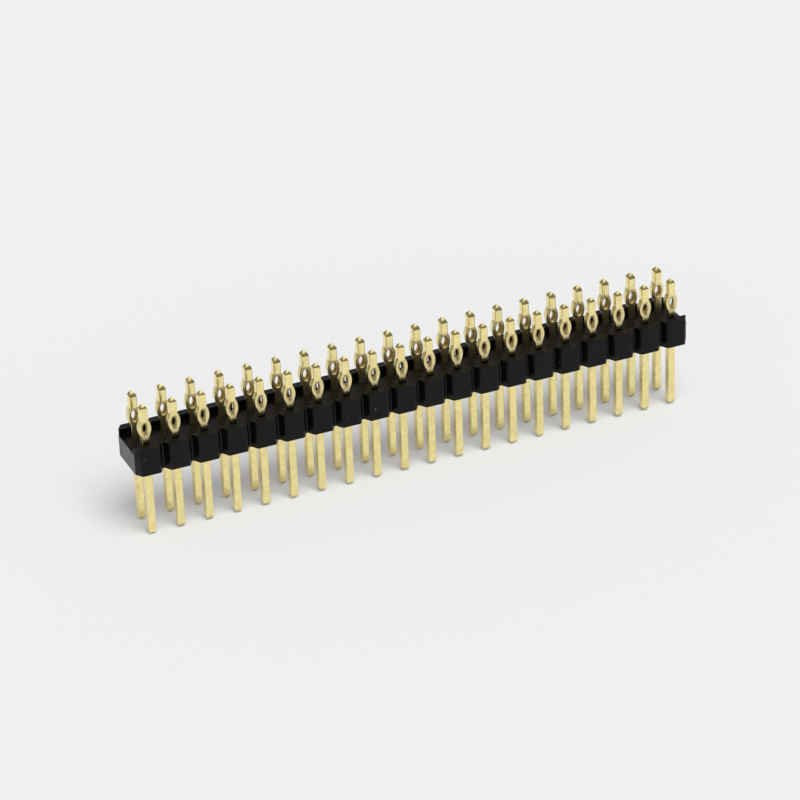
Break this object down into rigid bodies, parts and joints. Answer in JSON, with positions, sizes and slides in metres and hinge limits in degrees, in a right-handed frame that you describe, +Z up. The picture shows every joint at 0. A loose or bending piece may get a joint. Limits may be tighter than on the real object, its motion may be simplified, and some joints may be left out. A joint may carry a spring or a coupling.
{
  "type": "pin header strip",
  "caption": "Double-row square-pin header strip in a black moulded housing, with plain contact pins on one side and pierced press-fit tails on the other.",
  "frame": {"origin": "middle of the pin grid, level with the lower ends of the contact pins that the strip stands on", "axes": "+X along the strip, +Y from the front row to the back row, +Z up towards the press-fit tails and the board side"},
  "size_m": [0.0508, 0.005, 0.0122],
  "materials": {
    "housing": "semi-gloss black moulded plastic",
    "pin": "bright pale gold plating"
  },
  "bodies": {
    "root": {"housing": "housing", "pin_front_01": "pin", "pin_front_02": "pin", "pin_front_03": "pin", "pin_front_04": "pin", "pin_front_05": "pin", "pin_front_06": "pin", "pin_front_07": "pin", "pin_front_08": "pin", "pin_front_09": "pin", "pin_front_10": "pin", "pin_front_11": "pin", "pin_front_12": "pin", "pin_front_13": "pin", "pin_front_14": "pin", "pin_front_15": "pin", "pin_front_16": "pin", "pin_front_17": "pin", "pin_front_18": "pin", "pin_front_19": "pin", "pin_front_20": "pin", "pin_back_01": "pin", "pin_back_02": "pin", "pin_back_03": "pin", "pin_back_04": "pin", "pin_back_05": "pin", "pin_back_06": "pin", "pin_back_07": "pin", "pin_back_08": "pin", "pin_back_09": "pin", "pin_back_10": "pin", "pin_back_11": "pin", "pin_back_12": "pin", "pin_back_13": "pin", "pin_back_14": "pin", "pin_back_15": "pin", "pin_back_16": "pin", "pin_back_17": "pin", "pin_back_18": "pin", "pin_back_19": "pin", "pin_back_20": "pin"}
  },
  "joints": []
}
